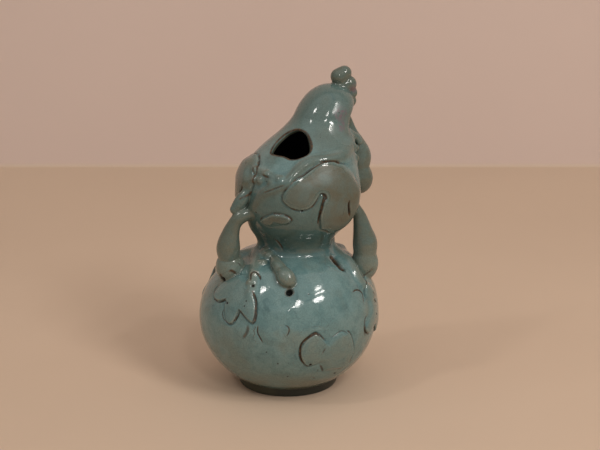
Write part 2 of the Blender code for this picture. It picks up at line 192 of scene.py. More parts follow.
def on_body(turn, length, out=0.0):
    """Point on the outside at a turn and a distance up the profile, moved out along the normal."""
    ahead = [np.interp(length + 0.5, LENGTHS, column) for column in PROFILE.T]
    behind = [np.interp(length - 0.5, LENGTHS, column) for column in PROFILE.T]
    rise, spread = ahead[0] - behind[0], ahead[1] - behind[1]
    size = np.hypot(rise, spread)
    level = np.interp(length, LENGTHS, PROFILE[:, 0])
    radius = np.interp(length, LENGTHS, PROFILE[:, 1]) + out * rise / size
    centre_x, centre_y = centre_at(level)
    angle = np.radians(turn)
    return np.array((centre_x + radius * np.sin(angle), centre_y - radius * np.cos(angle),
                     level - out * spread / size))


def places_from(level):
    """Gives places by their turn and their rise above a level."""
    return lambda turn, rise: (turn, level + rise)


globe, waist = places_from(GLOBE_LEVEL), places_from(WAIST_LEVEL)
bulb, dome = places_from(BULB_LEVEL), places_from(DOME_LEVEL)


def at_place(place, out=0.0):
    """Point for a place on the body."""
    return on_body(place[0], length_at(place[1]), out)


def smooth_curve(points, samples, closed=False):
    """Catmull-Rom curve through the points, evenly sampled in their numbering."""
    points = np.asarray(points, dtype=float)
    count = len(points)
    spans = count if closed else count - 1
    at = np.linspace(0.0, spans, samples, endpoint=not closed)
    first = np.minimum(at.astype(int), spans - 1)
    t = (at - first)[:, None]
    near = [first + shift for shift in (-1, 0, 1, 2)]
    before, start, end, after = [points[index % count if closed else np.clip(index, 0, count - 1)]
                                 for index in near]
    return 0.5 * (2 * start + (end - before) * t + (2 * before - 5 * start + 4 * end - after) * t**2
                  + (3 * start - before - 3 * end + after) * t**3)


def polar_outline(corners):
    """Smooth closed outline through tips and notches given as (angle in degrees, reach)."""
    corners = [(reach * math.cos(math.radians(angle)), reach * math.sin(math.radians(angle)))
               for angle, reach in corners]
    return smooth_curve(corners, 8 * len(corners), closed=True)


def to_line(points, line):
    """Distance, distance along and side of the nearest part of an open line, for points in a plane."""
    line = np.asarray(line, dtype=np.float32)
    points = np.asarray(points, dtype=np.float32)
    ways = np.diff(line, axis=0)
    sizes = np.maximum(np.hypot(ways[:, 0], ways[:, 1]), 1e-6)
    lengths = np.concatenate(([0.0], np.cumsum(sizes)))
    results = []
    for first in range(0, len(points), LINE_PART_SIZE):
        part = points[first:first + LINE_PART_SIZE]
        corner = np.argmin((line**2).sum(axis=1) - 2.0 * part @ line.T, axis=1)
        choices = []
        for index in (np.maximum(corner - 1, 0), np.minimum(corner, len(ways) - 1)):
            way, size = ways[index], sizes[index]
            rel = part - line[index]
            share = np.clip((rel * way).sum(axis=1) / size**2, 0.0, 1.0)
            gap = np.hypot(rel[:, 0] - share * way[:, 0], rel[:, 1] - share * way[:, 1])
            side = np.where(way[:, 0] * rel[:, 1] - way[:, 1] * rel[:, 0] >= 0.0, 1.0, -1.0)
            choices.append((gap, lengths[index] + share * size, side))
        closer = choices[0][0] < choices[1][0]
        results.append([np.where(closer, one, two) for one, two in zip(*choices)])
    return [np.concatenate(column) for column in zip(*results)]


def enclosed(points, loop):
    """Whether each point of the plane lies inside a closed loop."""
    inside = np.zeros(len(points), dtype=bool)
    x, y = points[:, 0], points[:, 1]
    for (x0, y0), (x1, y1) in zip(loop, np.roll(loop, -1, axis=0)):
        if y0 != y1:
            inside ^= ((y0 > y) != (y1 > y)) & (x < (x1 - x0) * (y - y0) / (y1 - y0) + x0)
    return inside


class Chart:
    """Values on an even grid in a plane, read in between."""

    def __init__(self, low, high, step, work_out):
        self.low, self.step = np.array(low, dtype=float), step
        self.count = np.ceil((np.array(high) - self.low) / step).astype(int) + 1
        axes = [self.low[axis] + step * np.arange(self.count[axis]) for axis in (0, 1)]
        grid = np.meshgrid(*axes, indexing="ij")
        charted = work_out(np.column_stack([side.ravel() for side in grid]))
        self.values = [value.reshape(self.count) for value in charted]

    def read(self, first, second):
        """The charted values at places, held at the chart's border beyond it."""
        at = [np.clip((value - low) / self.step, 0.0, count - 1.001)
              for value, low, count in zip((first, second), self.low, self.count)]
        cell = [value.astype(int) for value in at]
        share = [value - whole for value, whole in zip(at, cell)]
        i, j = cell
        s, t = share
        return [(v[i, j] * (1 - s) + v[i + 1, j] * s) * (1 - t)
                + (v[i, j + 1] * (1 - s) + v[i + 1, j + 1] * s) * t for v in self.values]


def profile_values(points):
    """Signed distance to the body's outline and length up it, for (level, radius) points."""
    gap, along, side = to_line(points, PROFILE)
    base_gap = to_line(points, np.array(((0.0, 0.0), PROFILE[0])))[0]
    inside = ((points[:, 0] > 0.0) & (points[:, 0] < CROWN_LEVEL)
              & (points[:, 1] < np.interp(points[:, 0], PROFILE[:, 0], PROFILE[:, 1])))
    gap = np.minimum(gap, base_gap)
    return np.where(inside, -gap, gap), along


# Lowest and highest level and radius that are charted
CHART_LOW, CHART_HIGH = (-12.0, 0.0), (172.0, 66.0)
BODY_CHART = Chart(CHART_LOW, CHART_HIGH, CHART_STEP, profile_values)


def wrapped(turn):
    """Turn in degrees between -180 and 180."""
    return turn - 360.0 * np.rint(turn / 360.0)


def fading(points, fades):
    """How far an outline fades into the wall: 1 at each fading angle, 0 beyond its spread."""
    angles = np.degrees(np.arctan2(points[:, 1], points[:, 0]))
    faded = np.zeros(len(points))
    for middle, spread in fades:
        share = np.abs(wrapped(angles - middle)) / spread
        faded = np.maximum(faded, ease(FADE_SLOPE - FADE_SLOPE * share))
    return faded


def outline_chart(corners, reach, fades=()):
    """Chart of the distance inside an outline, negative beyond it, and of how far its edge fades."""
    loop = polar_outline(corners)

    def work_out(points):
        gap = to_line(points, np.vstack((loop, loop[:1])))[0]
        return np.where(enclosed(points, loop), gap, -gap), fading(points, fades)

    return Chart((-reach, -reach), (reach, reach), CHART_STEP, work_out)


LOBE_WIDTH = 14.0
NOTCH_SHARE = 0.62


def palmate(reach, turned=0.0):
    """Tips and notches of a plain five-lobed leaf."""
    corners = []
    for lobe in range(5):
        angle = turned + 72.0 * lobe
        corners += [(angle - LOBE_WIDTH, 0.94 * reach), (angle + LOBE_WIDTH, 0.94 * reach),
                    (angle + 36.0, NOTCH_SHARE * reach)]
    return corners


# Leaves: place, outline as (angle in degrees, reach in mm) from that place, height above the wall, how
# thinly the glaze lies there, and where the edge was smoothed away, as (angle, spread)
LEAVES = {
    "hood_leaf": (bulb(33, 7), (
        (81, 11.0), (97, 12.0), (124, 14.3), (142, 14.9), (157, 16.8), (167, 19.2), (183, 24.3),
        (190, 25.6), (196, 24.5), (203, 21.9), (210, 18.3), (213, 14.5), (208, 11.0), (199, 8.7),
        (194, 7.2), (205, 5.5), (224, 6.2), (226, 8.4), (231, 10.9), (240, 14.4), (255, 19.8),
        (264, 21.2), (277, 24.0), (291, 25.6), (303, 25.4), (320, 23.5), (338, 21.5), (350, 20.6),
        (8, 17.0), (40, 13.0)
    ), 1.3, 0.95, ((20, 50),)),
    "flank_leaf": (bulb(-76, 6), (
        (17, 12.8), (37, 11.2), (54, 12.8), (80, 13.2), (105, 13.0), (130, 13.5), (160, 10.5),
        (190, 11.5), (212, 8.0), (235, 11.5), (263, 12.5), (298, 10.2), (330, 10.6), (353, 11.3)
    ), 3.2, 0.8, ()),
    "oval_leaf": (bulb(-26, -8), (
        (8, 8.4), (27, 6.4), (62, 3.7), (105, 3.1), (154, 3.7), (190, 8.0), (209, 6.7), (252, 4.4),
        (323, 4.5), (357, 7.7)
    ), 0.9, 0.9, ((285, 75),)),
    "shoulder_leaf": (globe(-41, 18), (
        (154, 13.7), (189, 16.6), (202, 12.5), (209, 6.0), (232, 7.6), (266, 12.2), (285, 12.1),
        (303, 7.8), (312, 7.5), (323, 16.9), (345, 13.4), (24, 8.7), (75, 10.3), (115, 12.0)
    ), 1.2, 0.25, ((75, 60),)),
    "middle_leaf": (globe(-9, 9), (
        (184, 7.2), (212, 8.5), (240, 10.0), (285, 11.6), (307, 12.0), (325, 8.4), (355, 5.9),
        (25, 9.5), (50, 12.0), (85, 9.0), (122, 12.0), (152, 6.0)
    ), 0.5, 0.05, ((70, 120), (200, 90), (310, 90))),
    "low_leaf": (globe(27, -6), (
        (123, 12.4), (150, 13.8), (177, 14.5), (213, 12.0), (240, 7.8), (266, 12.4), (290, 14.0),
        (318, 17.9), (344, 16.0), (7, 14.3), (36, 13.5), (70, 10.4), (106, 6.5)
    ), 1.1, 0.45, ((265, 60), (75, 50))),
    "right_leaf": (globe(84, 9), (
        (135, 15.0), (155, 15.0), (183, 14.7), (204, 21.2), (220, 20.0), (238, 13.0), (268, 17.0),
        (295, 12.0), (325, 16.0), (355, 11.0), (25, 16.0), (60, 12.0), (95, 15.0)
    ), 1.3, 0.4, ((180, 30), (0, 60))),
    "back_leaf_low": (globe(158, 0), palmate(15.0, 20.0), 1.1, 0.5, ()),
    "back_leaf_left": (globe(-118, 10), palmate(14.0, 50.0), 1.1, 0.5, ()),
    "back_leaf_high": (bulb(165, 4), palmate(13.0, 5.0), 1.1, 0.5, ()),
}
LEAF_REACH = 27.0
LEAF_MARGIN = 7.0
MOUTH_PLACE = (MOUTH_TURN, DOME_LEVEL - MOUTH_DROP)
MOUTH_CHART = outline_chart(MOUTH_OUTLINE, LEAF_REACH)


def box_round(points, reach):
    """Lowest and highest corner of a box that far round the points."""
    return points.min(axis=0) - reach, points.max(axis=0) + reach


def within(points, box):
    """Numbers of the points that lie in a box."""
    low, high = box
    if np.any(points.min(axis=0) > high) or np.any(points.max(axis=0) < low):
        return np.zeros(0, dtype=int)
    return np.flatnonzero(np.all((points > low) & (points < high), axis=1))


def met(points, shapes):
    """Each shape whose box, given last, holds points, with the numbers of those points."""
    for *shape, box in shapes:
        near = within(points, box)
        if len(near):
            yield near, shape


def chart_leaf(place, corners, height, thinness, fades):
    """A leaf's place, chart, height, thinness of glaze and the box round it."""
    outline = polar_outline(corners)
    lengths = length_at(place[1]) + outline[:, 1]
    turns = place[0] + np.degrees(outline[:, 0] / np.interp(lengths, LENGTHS, PROFILE[:, 1]))
    box = box_round(on_body(turns, lengths).T, LEAF_MARGIN)
    return place, outline_chart(corners, LEAF_REACH, fades), height, thinness, box


with ThreadPoolExecutor(WORKERS) as pool:
    LEAF_CHARTS = list(pool.map(lambda shape: chart_leaf(*shape), LEAVES.values()))

# Vines: thickness as a radius, and places in order
VINES = {
    "crown_vine": (2.2, (bulb(100, 25), bulb(62, 22.5), bulb(46, 20), bulb(31, 19.5), bulb(7, 19),
                         bulb(-4, 16.5), bulb(-13, 10.5), bulb(-24, 7.5), bulb(-37, 4), bulb(-51, -4),
                         bulb(-60, -8))),
    "flank_twig": (1.7, (bulb(-14, 10), bulb(-24, 11), bulb(-40, 12.5), bulb(-58, 13))),
    "waist_vine": (2.4, (bulb(-60, -10), waist(-68, 9), waist(-74, 2), waist(-68, -3), globe(-50, 31.4),
                         globe(-40, 29), globe(-34, 25), globe(-30, 20))),
    "fork_vine": (2.2, (waist(-66, -4), waist(-52, -3), waist(-38, -3))),
    "shoulder_vine": (2.4, (waist(104, 1), waist(94, -3), globe(77, 31), globe(69, 26.5), globe(67, 21.5),
                            globe(74, 14))),
    "back_vine_high": (1.9, (bulb(98, 26), bulb(125, 22), bulb(150, 14), bulb(166, 6))),
    "back_vine_low": (1.9, (waist(104, 0), globe(125, 28), globe(142, 20), globe(156, 6))),
    "back_vine_left": (2.6, (waist(-72, -2), globe(-84, 32), globe(-96, 27), globe(-110, 17))),
}

# Hanging gourds: upper place, lower place, sinking at the lower end and stations down the way
GOURDS = {
    "left_gourd": (bulb(-59, -7), globe(-68, 22), 5.0, (
        (0.0, -1.0, 3.6), (0.07, 3.6, 3.5), (0.18, 6.0, 3.3), (0.33, 6.7, 4.3), (0.51, 6.0, 5.7),
        (0.65, 4.2, 5.0), (0.76, 2.4, 7.0), (0.87, 1.2, 4.8)
    )),
    "right_gourd": (bulb(86, -7.8), globe(87, 22), 3.0, (
        (0.0, -1.0, 2.0), (0.16, 0.9, 3.3), (0.36, 2.1, 4.7), (0.53, 3.0, 6.0), (0.69, 2.8, 5.7),
        (0.85, 2.4, 6.7), (0.98, 0.2, 4.6)
    )),
    "high_gourd": (dome(107, -3), bulb(116, -5), -3.6, (
        (0.0, -0.8, 1.8), (0.20, 0.6, 2.7), (0.36, 2.1, 4.2), (0.52, 2.6, 6.0), (0.67, 1.6, 5.4),
        (0.81, 1.2, 6.7), (0.89, 0.8, 4.6)
    )),
    "front_gourd": (globe(-28, 33.5), globe(-1, 26.6), 0.0, (
        (0.0, 1.0, 1.8), (0.20, 2.2, 2.5), (0.42, 2.5, 3.0), (0.62, 2.3, 3.2), (0.86, 2.2, 4.1),
        (1.0, 1.5, 3.0)
    )),
}


def vine_bar(thickness, places):
    """Path and radii of a vine that lies half sunk on the body."""
    samples = 5 * len(places)
    path = np.array([at_place(place, VINE_LIFT) for place in smooth_curve(places, samples)])
    share = np.linspace(0.0, 1.0, samples)
    return path, thickness * (VINE_END + (1.0 - VINE_END) * np.sin(math.pi * share))


def gourd_bar(top, bottom, bottom_sink, stations):
    """Path and radii of a small gourd that hangs from one place to another."""
    start = at_place(top)
    end = at_place(bottom, -bottom_sink)
    way = end - start
    out = at_place(bottom, 1.0) - at_place(bottom)
    out[2] = 0.0
    out -= way * np.dot(out, way) / np.dot(way, way)
    out /= np.linalg.norm(out)
    smooth = smooth_curve(stations, 6 * len(stations))
    return np.array([start + way * share + out * bow for share, bow, radius in smooth]), smooth[:, 2]


# The stem behind the crown, as short twisted lumps: both ends from the crown's top, and their radii
STEM_LUMPS = (
    ((4.2, 1.5, 3.2), (6.8, 2.2, 4.9), 4.1, 3.5), ((4.4, 1.8, -2.4), (8.8, 2.6, -0.6), 4.2, 4.0),
    ((5.6, 3.0, 2.5), (8.4, 4.0, -8.0), 4.0, 3.2), ((7.1, 3.4, -7.0), (10.2, 3.2, -5.0), 2.9, 3.0),
    ((8.6, 4.2, -11.8), (10.2, 4.0, -9.2), 2.5, 2.6), ((9.0, 4.6, -10.0), (7.4, 5.2, -16.0), 2.6, 2.0),
)


def stem_lump(start, end, start_radius, end_radius):
    """One lump of the stem."""
    crown = np.array((*centre_at(CROWN_LEVEL), CROWN_LEVEL))
    return crown + np.linspace(start, end, 5), np.linspace(start_radius, end_radius, 5)


# Free ends that stand off the wall: root, two bends from it and radii. The vine's tip is between the dome
# and the hanging gourd, and the flap is the lower tip of the leaf on the flank
VINE_TIP = (dome(96, -11), ((2.4, 1.0, -0.8), (4.0, 1.4, -3.4)), np.linspace(2.2, 1.6, 9))
LEAF_FLAP = (bulb(-62, 2), ((-3.0, -1.6, -4.0), (-5.9, -2.2, -7.6)),
             smooth_curve([(3.2,), (3.2,), (2.2,)], 9)[:, 0])


def free_end(root, bends, radii):
    """Path and radii of a curled end."""
    root = at_place(root)
    return smooth_curve([root, *(root + bends)], len(radii)), radii


# Knots on the vines: place, height of the middle off the wall, and radius
KNOTS = (
    (bulb(-51, 9.4), 0.4, 1.5), (bulb(-44, 9.6), 0.2, 1.4), (bulb(-30, 9.2), 0.1, 1.4),
    (bulb(-39, 13.0), 0.5, 1.2), (bulb(-22, 11.5), 0.5, 1.3), (bulb(-57, 13.5), 0.3, 1.3),
    (waist(-53, -1.2), 0.3, 1.7), (waist(-42, -2.6), 0.4, 1.8), (globe(-40, 31.5), 0.4, 1.7),
    (globe(-37, 27.6), 0.9, 1.9), (globe(-35, 24.6), 0.8, 1.6), (globe(-31, 21.0), 0.3, 1.3),
    (dome(97, -17.0), 0.4, 1.7), (bulb(76, 21.4), 0.2, 1.4), (bulb(84, 16.0), -0.4, 1.4),
)


def knot_bar(place, out, radius):
    """A small lump on a vine."""
    middle = at_place(place, out)
    return np.array([middle, middle + (0.3, 0.0, 0.2)]), np.array((radius, 0.9 * radius))


def boxed_bar(path, radii, join, thinness):
    """A bar with the box round the whole and round each short run of it, its join and its glaze."""
    reach = radii.max() + 2 * COARSE_STEP + join
    runs = [(path[first:first + RUN + 1], radii[first:first + RUN + 1])
            for first in range(0, len(path) - 1, RUN)]
    return [(*run, box_round(run[0], reach)) for run in runs], join, thinness, box_round(path, reach)


# How each kind is made, its shapes, its join with the wall and how thinly the glaze lies on it
BAR_KINDS = (
    (vine_bar, VINES.values(), VINE_JOIN, 0.6), (gourd_bar, GOURDS.values(), SOFT_JOIN, 0.75),
    (stem_lump, STEM_LUMPS, STEM_JOIN, 0.6), (free_end, (VINE_TIP,), SOFT_JOIN, 0.5),
    (free_end, (LEAF_FLAP,), SOFT_JOIN, 0.4), (knot_bar, KNOTS, KNOT_JOIN, 0.7),
)
BARS = [boxed_bar(*make(*shape), join, thinness)
        for make, shapes, join, thinness in BAR_KINDS for shape in shapes]

# Small dents and pin holes: place, radius and depth
PIT_PLACE = globe(-1.3, 22.7)
DENT_SHARE = 0.9
DENTS = (
    (globe(-31, 23.5), 0.7, 0.8), (globe(-62, 22.6), 0.9, 0.9), (globe(15, -11.5), 0.8, 0.5),
    (globe(39, -21.1), 0.7, 0.4), (globe(75, 3.3), 0.6, 0.4), (bulb(1, -2.6), 0.6, 0.5),
    (globe(-46, 14.6), 0.6, 0.5),
)

# Creases cut or left in the clay: width, depth, darkness, the part they are on, and its turns and rises.
# The darkness paints brown clay along each line, and painted shade in the deeper grooves and slots
CREASES = (
    (0.50, 0.7, 1.0, waist, ((-35, 6.5), (-30, 5.0), (-21, 0.9))),
    (0.42, 0.4, 0.9, bulb, ((-2, 12.4), (8, 16.0), (19, 18.1), (33, 18.0), (42, 16.7))),
    (0.46, 0.5, 1.0, bulb, ((20, 5.1), (22, 4.0), (21, 1.3), (18, -5.5), (18, -10.3))),
    (0.80, 1.2, 1.0, bulb, ((49, 0.2), (50, -3.4), (55, -8.5))),
    (0.36, 0.3, 0.6, bulb, ((-15, 9.3), (-25, 7.1), (-36, 4.6))),
    (0.60, 0.5, 0.9, globe, ((-64, 21.6), (-62, 23.4))),
    (0.50, 0.4, 0.9, globe, ((-34, 24.8), (-37, 26.3), (-37, 27.6), (-34, 28.1), (-30, 27.3),
                             (-28, 26.1))),
    (0.38, 0.4, 0.8, globe, ((-56, 13.0), (-52, 14.7), (-48, 16.5))),
    (0.34, 0.4, 0.8, globe, ((-49, 15.5), (-48, 13.0))),
    (0.40, 0.4, 0.9, globe, ((-34, 12.7), (-35, 10.0), (-37, 7.2))),
    (0.46, 0.4, 0.9, globe, ((-29, 21.6), (-25, 18.6), (-23, 15.4), (-22, 11.9), (-23, 8.7))),
    (0.90, 0.2, 0.7, globe, ((-26, 7.5), (-26, 4.2), (-29, 0.4))),
    (0.38, 0.3, 0.9, globe, ((-19, 8.2), (-19, 4.9), (-17, 2.2), (-15, -0.2))),
    (0.34, 0.3, 0.8, globe, ((-2, 8.9), (0.3, 7.9), (1, 6.4), (0.5, 4.8), (-1, 3.3))),
    (1.60, 2.4, 1.0, globe, ((63, 33.3), (59, 31.9), (55, 30.3), (55, 27.3))),
    (1.20, 1.6, 0.9, waist, ((96, -4.4), (93, -5.6), (88, -6.9))),
    (0.42, 0.4, 0.9, globe, ((51, 18.7), (55, 19.1), (59, 18.5), (62, 16.8), (62, 14.8), (60, 12.1))),
    (0.36, 0.3, 0.8, globe, ((72, 14.5), (79, 11.3))),
    (0.50, 0.4, 0.9, globe, ((73, 11.4), (78, 8.1))),
    (0.36, 0.3, 0.8, globe, ((62, 6.2), (59, 4.2), (58, 0.2), (60, -5.1))),
    (0.45, 0.4, 0.8, bulb, ((-42, 12.2), (-37, 11.7), (-32, 11.6))),
    (0.50, 0.5, 1.0, globe, ((20, 2.4), (18, 4.3), (13, 2.5), (9, -0.3), (8, -4.3), (9, -8.8),
                             (11, -11.2))),
    (0.32, 0.2, 0.4, globe, ((28, 1.0), (36, 3.3), (42, 0.2))),
    (0.36, 0.3, 0.9, globe, ((46, -4.8), (48, -8.9), (47, -13.3), (47, -17.3))),
    (0.36, 0.3, 0.6, globe, ((24, -3.3), (23, -4.5), (22, -6.0))),
    (0.60, 0.3, 0.7, globe, ((22, -12.8), (24, -14.9), (26, -17.8))),
    (0.36, 0.2, 0.8, globe, ((19, -20.9), (22, -21.7))),
    (0.42, 0.3, 0.9, bulb, ((-62, 16.4), (-56, 15.0), (-51, 12.7), (-51, 10.2))),
    (0.50, 0.6, 1.0, bulb, ((-62, 5.7), (-63, 3.3), (-66, 0.8))),
    (0.36, 0.3, 0.8, globe, ((-55, 28.9), (-59, 26.6), (-61, 24.2))),
    (0.38, 0.3, 0.7, globe, ((-67, 20.3), (-68, 16.8), (-64, 14.8), (-57, 13.2))),
    (0.34, 0.3, 0.6, globe, ((-48, 12.1), (-48, 9.4), (-45, 7.0), (-40, 6.0))),
)
CREASE_MARGIN = 3.0
CREASE_TAPER = 3.0
BLUNTNESS = 0.15
# How far off the plain body creases and dents still mark what stands there, in mm
CREASE_LIFT = 5.5
DENT_LIFT = 3.5


def body_coordinates(points):
    """Distance off the plain body, turn, length up the profile, and radius there."""
    centre_x, centre_y = centre_at(points[:, 2])
    x, y = points[:, 0] - centre_x, points[:, 1] - centre_y
    off, length = BODY_CHART.read(points[:, 2], np.hypot(x, y))
    return off, np.degrees(np.arctan2(x, -y)), length, np.interp(length, LENGTHS, PROFILE[:, 1])


def spread_out(place, turn, length, radius):
    """Flat coordinates about a place: along the turn and up the wall."""
    return radius * np.radians(wrapped(turn - place[0])), length - length_at(place[1])


def gap_to(place, turn, length, radius):
    """Distance along the wall from a place."""
    return np.hypot(*spread_out(place, turn, length, radius))


def soft_least(first, second, width):
    """Smaller of two distances, blended where they are close."""
    near = np.maximum(width - np.abs(first - second), 0.0) / width
    return np.minimum(first, second) - 0.25 * near * near * width


def soft_most(first, second, width):
    """Larger of two distances, blended where they are close."""
    return -soft_least(-first, -second, width)


def to_bar(points, runs):
    """Distance to the outside of a bar with its own radius at each point of its path."""
    nearest = np.full(len(points), OUT_OF_REACH, dtype=np.float32)
    for near, (path, radii) in met(points, runs):
        close = points[near]
        least = nearest[near]
        for start, end, start_radius, end_radius in zip(path[:-1], path[1:], radii[:-1], radii[1:]):
            way = (end - start).astype(np.float32)
            rel = close - start.astype(np.float32)
            share = np.clip(rel @ way / (way @ way), 0.0, 1.0)
            rel -= share[:, None] * way
            gap = np.sqrt(np.einsum("ij,ij->i", rel, rel))
            gap -= start_radius + share * (end_radius - start_radius)
            np.minimum(least, gap, out=least)
        nearest[near] = least
    return nearest


def chart_crease(width, depth, darkness, region, spots):
    """A crease with its flat line about its first place, and the box round it."""
    places = [region(*spot) for spot in spots]
    smooth = smooth_curve(places, 5 * len(places))
    lengths = length_at(smooth[:, 1])
    radii = np.interp(lengths, LENGTHS, PROFILE[:, 1])
    line = np.column_stack(spread_out(places[0], smooth[:, 0], lengths, radii))
    box = box_round(on_body(smooth[:, 0], lengths).T, CREASE_MARGIN)
    return width, depth, darkness, places[0], line, box


CREASE_LINES = [chart_crease(*crease) for crease in CREASES]
DENT_BOXES = [(place, size, depth, box_round(at_place(place)[None, :], CREASE_MARGIN + size))
              for place, size, depth in DENTS]


def near_creases(points, off, turn, length, radius):
    """For each crease: the points near it, their signed offsets in widths and its strength there."""
    for near, (width, depth, darkness, place, line) in met(points, CREASE_LINES):
        across, up = spread_out(place, turn[near], length[near], radius[near])
        gap, along, side = to_line(np.column_stack((across, up)), line)
        total = np.hypot(*np.diff(line, axis=0).T).sum()
        taper_length = min(CREASE_TAPER, 0.45 * total)
        taper = ease(np.minimum(along, total - along) / taper_length + BLUNTNESS)
        taper *= ease(CREASE_LIFT - off[near])
        yield near, side * gap / (width * (0.5 + 0.5 * taper)), taper, depth, darkness


def leaf_distance(points, turn, length, radius):
    """Height of the leaves, distance inside the nearest outline, its fading and how thin the glaze is."""
    height = np.zeros(len(turn))
    inside = np.full(len(turn), -LEAF_REACH)
    groove = np.zeros(len(turn))
    fade = np.zeros(len(turn))
    thin = np.zeros(len(turn))
    for near, (place, chart, top, thinness) in met(points, LEAF_CHARTS):
        edge, faded = chart.read(*spread_out(place, turn[near], length[near], radius[near]))
        width = LEAF_EDGE_WIDTH + faded * (FADED_EDGE_WIDTH - LEAF_EDGE_WIDTH)
        step = np.clip(edge / width, 0.0, 1.0)
        rim = min(LEAF_EDGE, top)
        own = rim * ((1.0 - faded) * np.sqrt(1.0 - (1.0 - step) ** 2) + faded * ease(step))
        own += (top - rim) * ease(edge / LEAF_PUFF_WIDTH)
        height[near] = np.maximum(height[near], own)
        nearer = edge > inside[near]
        inside[near[nearer]] = edge[nearer]
        fade[near[nearer]] = faded[nearer]
        cut = (1.0 - faded) * np.exp(-((edge + GROOVE_WIDTH) / GROOVE_WIDTH) ** 2)
        groove[near] = np.maximum(groove[near], cut)
        thin[near] = np.maximum(thin[near], thinness * ease((edge + 0.3) / (2.5 + 3.0 * faded)))
    return height - GROOVE_DEPTH * groove, inside, fade, thin


# Length and height of the wall's swells, and how far above the foot they set in, in mm
SWELLS = ((34.0, 0.07), (19.0, 0.02))
EVEN_HEIGHT = 6.0


def unevenness(points):
    """Slow swells of a hand-shaped wall, in mm."""
    total = np.zeros(len(points))
    for index, (wave, size) in enumerate(SWELLS):
        for turn in range(3):
            angle = 1.3 * index + 2.1 * turn
            way = np.array((math.cos(angle), math.sin(angle), 0.8 * math.cos(2.7 * angle + 1.0)),
                           dtype=np.float32)
            total += size * np.sin(points @ way * (2 * math.pi / wave) + 1.7 * turn + index)
    return total


def part_distance(points):
    """Signed distance to the vase's surface for one part of the points, negative in the clay."""
    off, turn, length, radius = body_coordinates(points)
    leaves, *_ = leaf_distance(points, turn, length, radius)
    outside = off - leaves - unevenness(points) * ease((points[:, 2] - FOOT_HEIGHT) / EVEN_HEIGHT)
    for near, (runs, join, _) in met(points, BARS):
        outside[near] = soft_least(outside[near], to_bar(points[near], runs), join)
    for near, widths_off, taper, depth, _ in near_creases(points, off, turn, length, radius):
        outside[near] += depth * taper * np.exp(-widths_off**2)
    for near, (place, size, depth) in met(points, DENT_BOXES):
        gap = gap_to(place, turn[near], length[near], radius[near])
        outside[near] += depth * ease(DENT_LIFT - off[near]) * np.exp(-(gap / size) ** 2)
    pit = np.maximum(gap_to(PIT_PLACE, turn, length, radius) - PIT_RADIUS, -off - PIT_DEPTH)
    outside = soft_most(outside, -pit, EDGE_ROUNDING)
    opening, _ = MOUTH_CHART.read(*spread_out(MOUTH_PLACE, turn, length, radius))
    cavity = soft_most(off + WALL, FOOT_RECESS + FLOOR - points[:, 2], FLOOR_ROUNDING)
    solid = np.maximum(outside, -cavity)
    solid = soft_most(solid, np.minimum(opening, off + MOUTH_REACH), MOUTH_ROUNDING)
    recess = np.maximum(np.hypot(points[:, 0], points[:, 1]) - (FOOT_RADIUS - FOOT_RING_WIDTH),
                        points[:, 2] - FOOT_RECESS)
    return soft_most(solid, -recess, EDGE_ROUNDING)


def vase_distance(points):
    """Signed distance to the vase's surface, negative in the clay, one neighbourhood after another."""
    order = np.lexsort(np.floor(points / NEIGHBOURHOOD).T.astype(int))
    parts = np.array_split(points[order].astype(np.float32), len(points) // PART_SIZE + 1)
    found = np.empty(len(points))
    with ThreadPoolExecutor(WORKERS) as pool:
        found[order] = np.concatenate(list(pool.map(part_distance, parts)))
    return found


def sample_grid():
    """The distance on an even grid: exact near the surface, and only of the right sign elsewhere."""
    reach = GLOBE_RADIUS + GRID_MARGIN
    low = np.min([box[0] for *_, box in BARS] + [(-reach, -reach, -GRID_MARGIN)], axis=0)
    high = np.max([box[1] for *_, box in BARS] + [(reach, reach, CROWN_LEVEL)], axis=0)
    ratio = round(COARSE_STEP / FINE_STEP)
    blocks = np.ceil((high - low) / COARSE_STEP).astype(int)
    axes = [low[axis] + COARSE_STEP * (np.arange(blocks[axis]) + 0.5) for axis in range(3)]
    middles = np.stack(np.meshgrid(*axes, indexing="ij"), axis=-1).reshape(-1, 3)
    coarse = vase_distance(middles)
    sign = np.where(coarse < 0.0, -1.0, 1.0).astype(np.float32).reshape(blocks)
    field = sign.repeat(ratio, 0).repeat(ratio, 1).repeat(ratio, 2) * FAR
    near = np.flatnonzero(np.abs(coarse) < HALF_DIAGONAL * COARSE_STEP + FINE_STEP + SURFACE_MARGIN)
    block = ratio * np.stack(np.unravel_index(near, blocks), axis=-1)
    inner = np.stack(np.meshgrid(*[np.arange(ratio)] * 3, indexing="ij"), axis=-1).reshape(-1, 3)
    cells = (block[:, None, :] + inner[None, :, :]).reshape(-1, 3)
    field[cells[:, 0], cells[:, 1], cells[:, 2]] = vase_distance(low + (cells + 0.5) * FINE_STEP)
    return field, low + 0.5 * FINE_STEP


